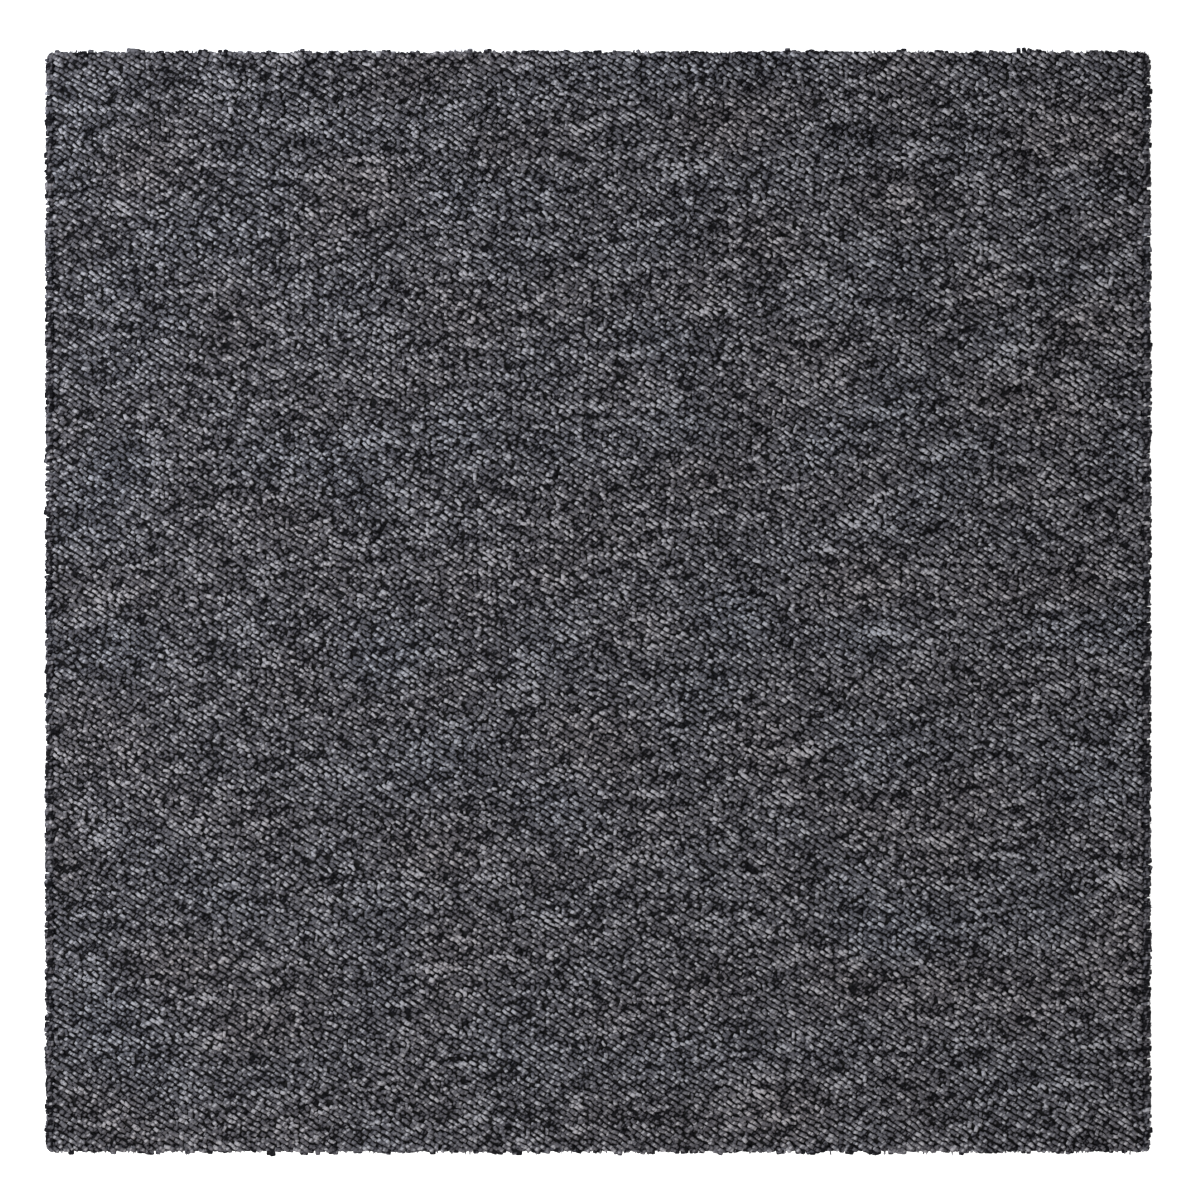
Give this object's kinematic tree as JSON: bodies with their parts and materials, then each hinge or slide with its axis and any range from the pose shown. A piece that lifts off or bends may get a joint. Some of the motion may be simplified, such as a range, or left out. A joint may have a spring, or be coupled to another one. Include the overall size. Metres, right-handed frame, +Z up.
{
  "type": "carpet tile",
  "caption": "Square loop-pile carpet tile on a heavy flexible backing, laid edge to edge with like tiles to cover a floor.",
  "frame": {"origin": "centre of the underside, on the floor", "axes": "+Z up out of the pile, +Y along the rows of stitches towards the top of the tile as seen from above, +X to the right"},
  "size_m": [0.5, 0.5, 0.0063],
  "materials": {
    "backing": "matt black filled bitumen with a thin felt skin",
    "loop_yarn": "charcoal and grey heather loop pile, matt, with small highlights on the yarn"
  },
  "bodies": {
    "root": {"backing": "backing", "tufted_face": "loop_yarn"}
  },
  "joints": []
}
